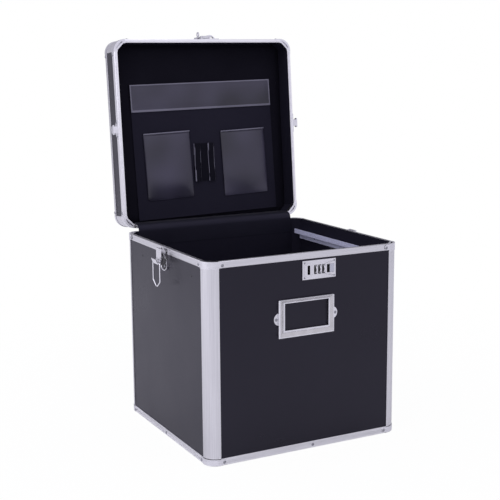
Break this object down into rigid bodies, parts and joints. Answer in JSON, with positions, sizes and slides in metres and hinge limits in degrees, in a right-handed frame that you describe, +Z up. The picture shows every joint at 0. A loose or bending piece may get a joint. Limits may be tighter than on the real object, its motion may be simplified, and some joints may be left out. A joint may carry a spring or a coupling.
{
  "type": "record_carrying_case",
  "caption": "Upright aluminium-edged black case for LP records, lid hinged back open, with side draw latches, combination lock and hasp, card holder, file rails and lid pockets",
  "frame": {"origin": "on the floor, at the middle of the case body's base", "axes": "+X to the case's right seen from the front, +Y to the back where the hinges are, +Z up"},
  "size_m": [0.4, 0.4228, 0.6833],
  "materials": {
    "board": "satin black laminate with a fine leather-like grain",
    "edging": "satin anodised extrusion",
    "plated_corner": "pressed and nickel plated",
    "rivet": "domed, nickel plated",
    "dark_screw": "black painted",
    "plated_fitting": "bright nickel plate",
    "hinge_steel": "zinc plated",
    "number_wheel": "nickel-plated wheels with black numbers",
    "lining_cloth": "thin black nonwoven",
    "pocket_vinyl": "soft smooth vinyl",
    "elastic": "woven elastic",
    "gusset_cloth": "black coated cloth",
    "handle_grip": "soft black grip"
  },
  "bodies": {
    "case_body": {"body_front_panel": "board", "body_back_panel": "board", "body_left_panel": "board", "body_right_panel": "board", "body_base_panel": "board", "body_corner_posts": "edging", "body_rim_rails": "edging", "body_rim_corners": "plated_corner", "body_base_rails": "edging", "body_base_corners": "plated_corner", "body_corner_rivets": "rivet", "body_lining": "lining_cloth", "hanging_rails": "edging", "hanging_rail_screws": "dark_screw", "lock_plate": "plated_fitting", "lock_case": "hinge_steel", "lock_axle": "hinge_steel", "lock_spring": "hinge_steel", "card_holder": "plated_fitting", "latch_base_left": "plated_fitting", "latch_base_right": "plated_fitting", "latch_pins": "plated_fitting", "hinge_body_leaves": "hinge_steel", "hinge_pins": "hinge_steel", "body_fitting_rivets": "rivet", "hinge_gusset": "gusset_cloth"},
    "lid": {"lid_front_panel": "board", "lid_back_panel": "board", "lid_left_panel": "board", "lid_right_panel": "board", "lid_top_panel": "board", "lid_corner_posts": "edging", "lid_rim_rails": "edging", "lid_rim_corners": "plated_corner", "lid_top_rails": "edging", "lid_top_corners": "plated_corner", "lid_corner_rivets": "rivet", "lid_lining": "lining_cloth", "lid_padding": "lining_cloth", "wide_pocket": "pocket_vinyl", "cd_pocket_left": "pocket_vinyl", "cd_pocket_right": "pocket_vinyl", "pen_loops": "elastic", "lid_catches": "plated_fitting", "hinge_lid_leaves": "hinge_steel", "hasp_base": "plated_fitting", "hasp_pin": "plated_fitting", "handle_brackets": "plated_fitting", "lid_fitting_rivets": "rivet"},
    "lever_left": {"latch_lever_left": "plated_fitting"},
    "bail_left": {"latch_bail_left": "plated_fitting"},
    "lever_right": {"latch_lever_right": "plated_fitting"},
    "bail_right": {"latch_bail_right": "plated_fitting"},
    "clasp": {"hasp_clasp": "plated_fitting"},
    "slider": {"lock_slider": "plated_fitting", "lock_bolt": "plated_fitting"},
    "dial_1": {"lock_dial_1": "number_wheel"},
    "dial_2": {"lock_dial_2": "number_wheel"},
    "dial_3": {"lock_dial_3": "number_wheel"},
    "handle": {"carry_handle": "handle_grip"}
  },
  "joints": [
    {"name": "lid_hinge", "type": "hinge", "parent": "case_body", "child": "lid", "pos_m": [0, 0.173, 0.33015], "axis": [1, 0, 0], "range_deg": [0, 95], "deforming": ["hinge_gusset"]},
    {"name": "lever_left_turn", "type": "hinge", "parent": "case_body", "child": "lever_left", "pos_m": [-0.1862, -0.009, 0.3263], "axis": [0, -1, 0], "range_deg": [-115, 0]},
    {"name": "bail_left_swing", "type": "hinge", "parent": "lever_left", "child": "bail_left", "pos_m": [-0.1946, -0.009, 0.3054], "axis": [0, 1, 0], "range_deg": [0, 198]},
    {"name": "lever_right_turn", "type": "hinge", "parent": "case_body", "child": "lever_right", "pos_m": [0.1862, -0.009, 0.3263], "axis": [0, 1, 0], "range_deg": [-115, 0]},
    {"name": "bail_right_swing", "type": "hinge", "parent": "lever_right", "child": "bail_right", "pos_m": [0.1946, -0.009, 0.3054], "axis": [0, -1, 0], "range_deg": [0, 198]},
    {"name": "hasp_swing", "type": "hinge", "parent": "lid", "child": "clasp", "pos_m": [0.002, 0.2058, 0.6735], "axis": [1, 0, 0], "range_deg": [0, 180]},
    {"name": "lock_slide", "type": "slide", "parent": "case_body", "child": "slider", "axis": [-1, 0, 0], "range_m": [0, 0.0045], "stiffness_N_per_m": 200},
    {"name": "dial_1_turn", "type": "hinge", "parent": "case_body", "child": "dial_1", "pos_m": [0.0147, -0.1632, 0.301], "axis": [1, 0, 0], "continuous": true},
    {"name": "dial_2_turn", "type": "hinge", "parent": "case_body", "child": "dial_2", "pos_m": [0.0222, -0.1632, 0.301], "axis": [1, 0, 0], "continuous": true},
    {"name": "dial_3_turn", "type": "hinge", "parent": "case_body", "child": "dial_3", "pos_m": [0.0297, -0.1632, 0.301], "axis": [1, 0, 0], "continuous": true},
    {"name": "handle_swing", "type": "hinge", "parent": "lid", "child": "handle", "pos_m": [0, 0.24393, 0.52872], "axis": [1, 0, 0], "range_deg": [0, 90]}
  ]
}
